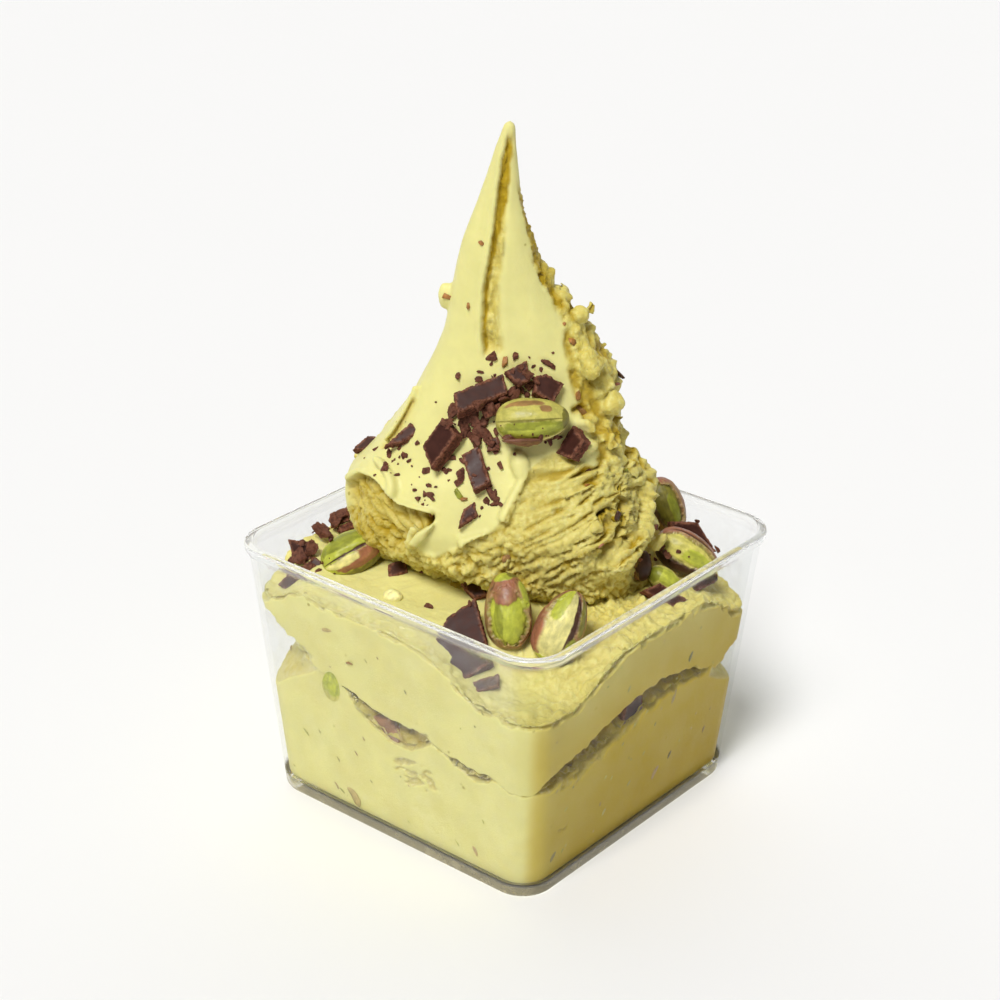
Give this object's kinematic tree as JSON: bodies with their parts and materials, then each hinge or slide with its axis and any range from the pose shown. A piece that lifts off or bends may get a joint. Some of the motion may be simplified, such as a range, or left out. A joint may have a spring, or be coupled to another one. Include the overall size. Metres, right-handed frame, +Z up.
{
  "type": "gelato cup",
  "caption": "Square clear dessert cup filled with two layers of pistachio gelato, topped by a tall pulled swirl with broken dark chocolate and pistachio kernels.",
  "frame": {"origin": "middle of the cup's foot, on the surface it stands on", "axes": "+Z up; -Y and +X are the cup's two front walls, and the front corner lies between them"},
  "size_m": [0.08, 0.08, 0.1427],
  "materials": {
    "clear_plastic": "clear, smooth, thin injection-moulded plastic",
    "gelato": "pale yellow-green frozen cream, soft sheen, spatula marks and torn ridges",
    "chocolate": "dark chocolate, satin faces and crumbly broken edges",
    "pistachio": "satin green kernel with patches of pink-brown skin",
    "nut_skin": "pink-brown papery skin"
  },
  "bodies": {
    "root": {"chocolate_bar": "chocolate", "chocolate_block": "chocolate", "chocolate_corner": "chocolate", "chocolate_front_chip": "chocolate", "chocolate_front_low": "chocolate", "chocolate_front_slab": "chocolate", "chocolate_in_layer": "chocolate", "chocolate_kite": "chocolate", "chocolate_left_back": "chocolate", "chocolate_left_block": "chocolate", "chocolate_left_chip": "chocolate", "chocolate_left_low": "chocolate", "chocolate_left_slab": "chocolate", "chocolate_left_star": "chocolate", "chocolate_left_wedge": "chocolate", "chocolate_lobe_chip": "chocolate", "chocolate_lobe_end": "chocolate", "chocolate_lobe_top": "chocolate", "chocolate_right_low": "chocolate", "chocolate_right_slab": "chocolate", "chocolate_right_tall": "chocolate", "chocolate_short": "chocolate", "chocolate_top_left": "chocolate", "chocolate_top_right": "chocolate", "chocolate_wedge": "chocolate", "cup": "clear_plastic", "gelato_lower": "gelato", "gelato_swirl": "gelato", "gelato_upper": "gelato", "pistachio_back_right": "pistachio", "pistachio_front_left": "pistachio", "pistachio_front_right": "pistachio", "pistachio_half_right": "pistachio", "pistachio_in_layer": "pistachio", "pistachio_left": "pistachio", "pistachio_low_right": "pistachio", "pistachio_on_swirl": "pistachio", "pistachio_right": "pistachio", "skin_chip_in_layer": "nut_skin"}
  },
  "joints": []
}
